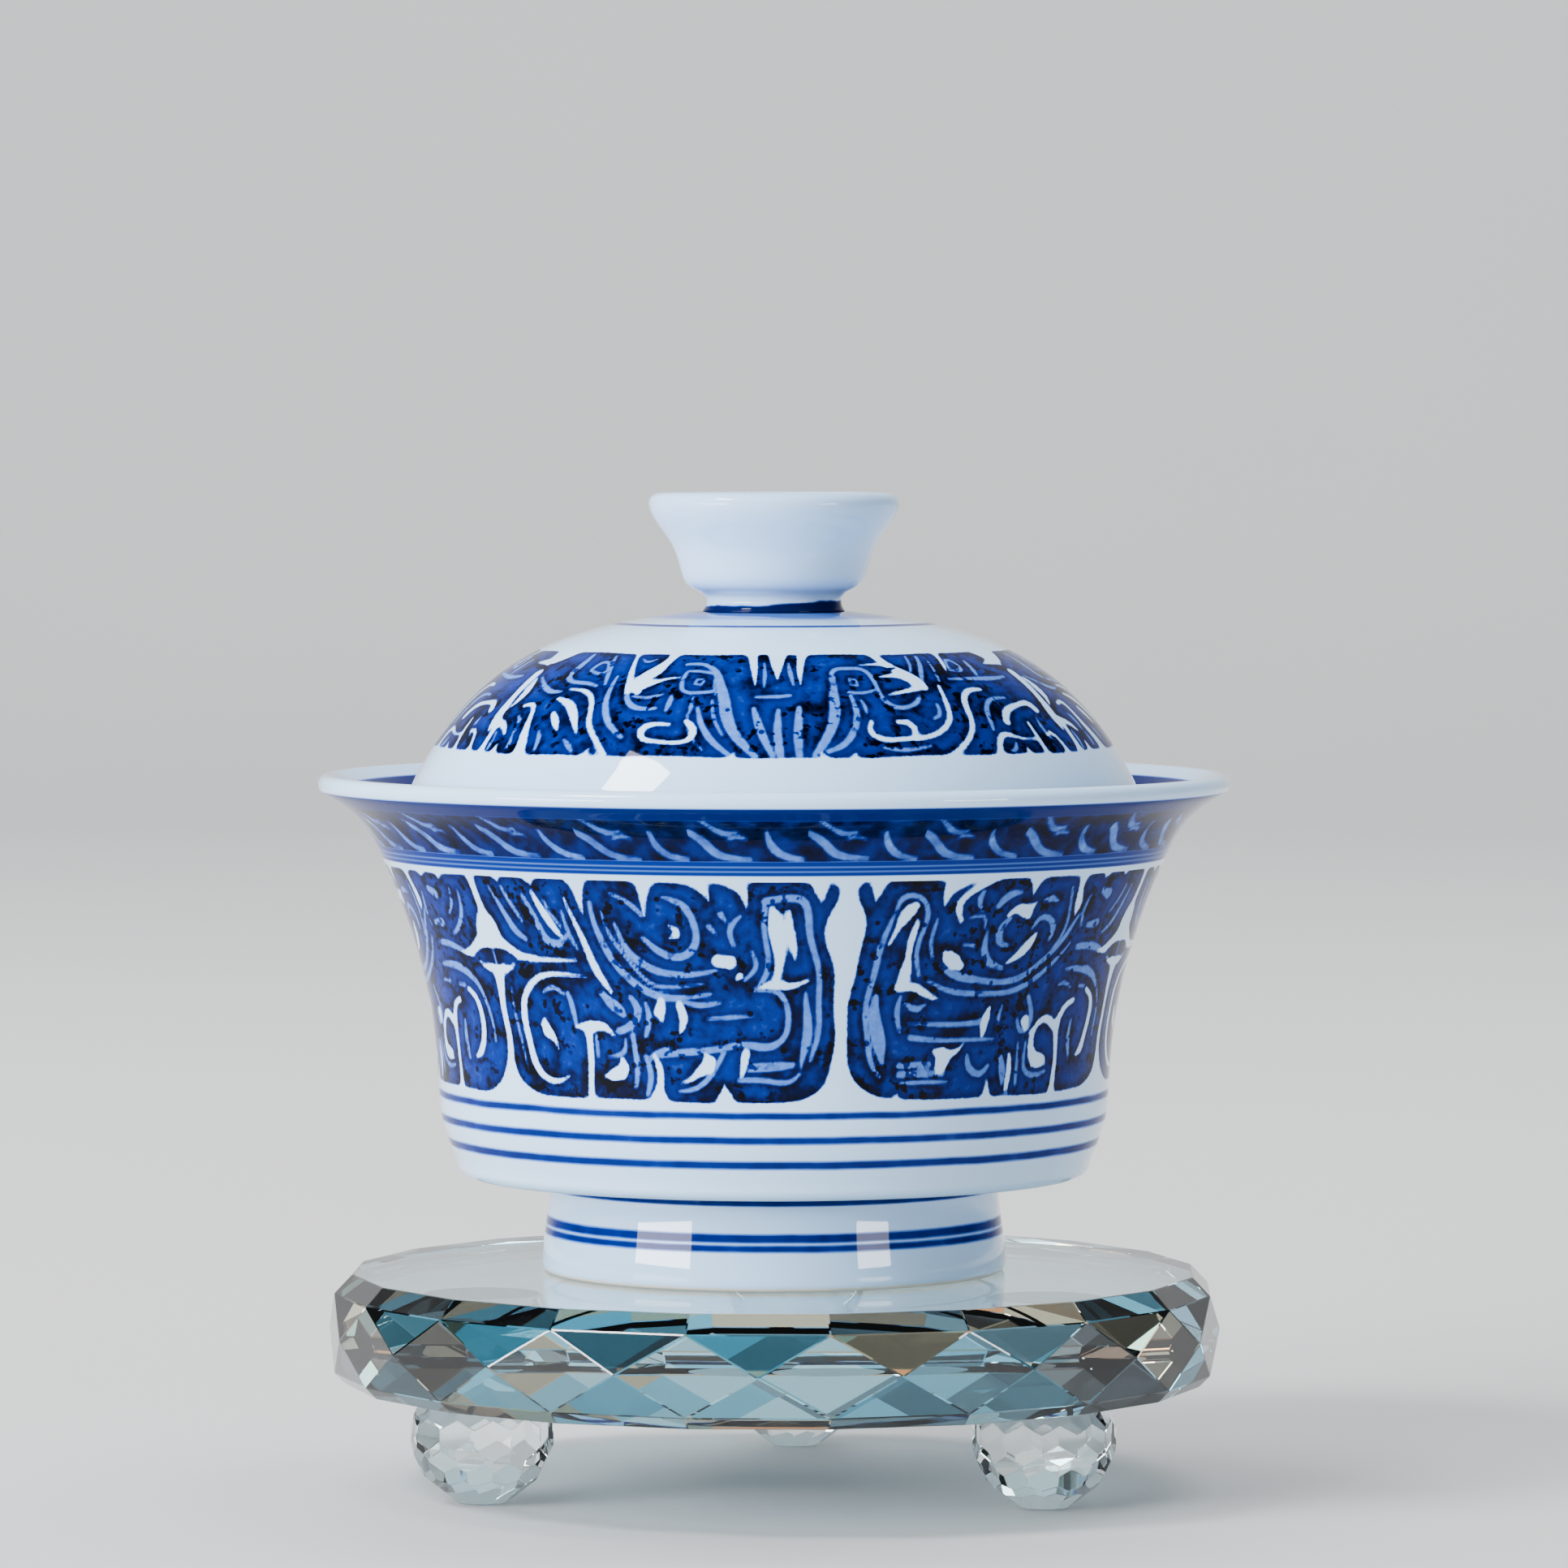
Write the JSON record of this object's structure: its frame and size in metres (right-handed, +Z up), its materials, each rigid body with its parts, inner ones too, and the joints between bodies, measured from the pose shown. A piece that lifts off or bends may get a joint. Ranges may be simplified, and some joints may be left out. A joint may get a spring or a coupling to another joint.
{
  "type": "gaiwan",
  "caption": "Lidded porcelain tea bowl with cobalt-blue painted scroll bands, standing on a round cut-crystal disc with faceted ball feet.",
  "frame": {"origin": "on the surface that the stand rests on, under the common axis of lid, bowl and disc", "axes": "+Z up along that axis; the front of the bowl faces -Y, +X to its right"},
  "size_m": [0.102, 0.102, 0.1112],
  "materials": {
    "porcelain": "clear glossy glaze over cobalt blue painting",
    "crystal": "cut and polished clear crystal glass",
    "adhesive": "clear cured adhesive"
  },
  "bodies": {
    "stand": {"stand_disc": "crystal", "foot_ball_1": "crystal", "foot_ball_2": "crystal", "foot_ball_3": "crystal", "foot_bond_1": "adhesive", "foot_bond_2": "adhesive", "foot_bond_3": "adhesive"},
    "bowl": {"bowl": "porcelain"},
    "lid": {"lid": "porcelain", "lid_knob": "porcelain"}
  },
  "joints": [
    {"name": "bowl_lift", "type": "slide", "parent": "stand", "child": "bowl", "axis": [0, 0, 1], "range_m": [0, 0.09]},
    {"name": "lid_lift", "type": "slide", "parent": "bowl", "child": "lid", "axis": [0, 0, 1], "range_m": [0, 0.06]}
  ]
}
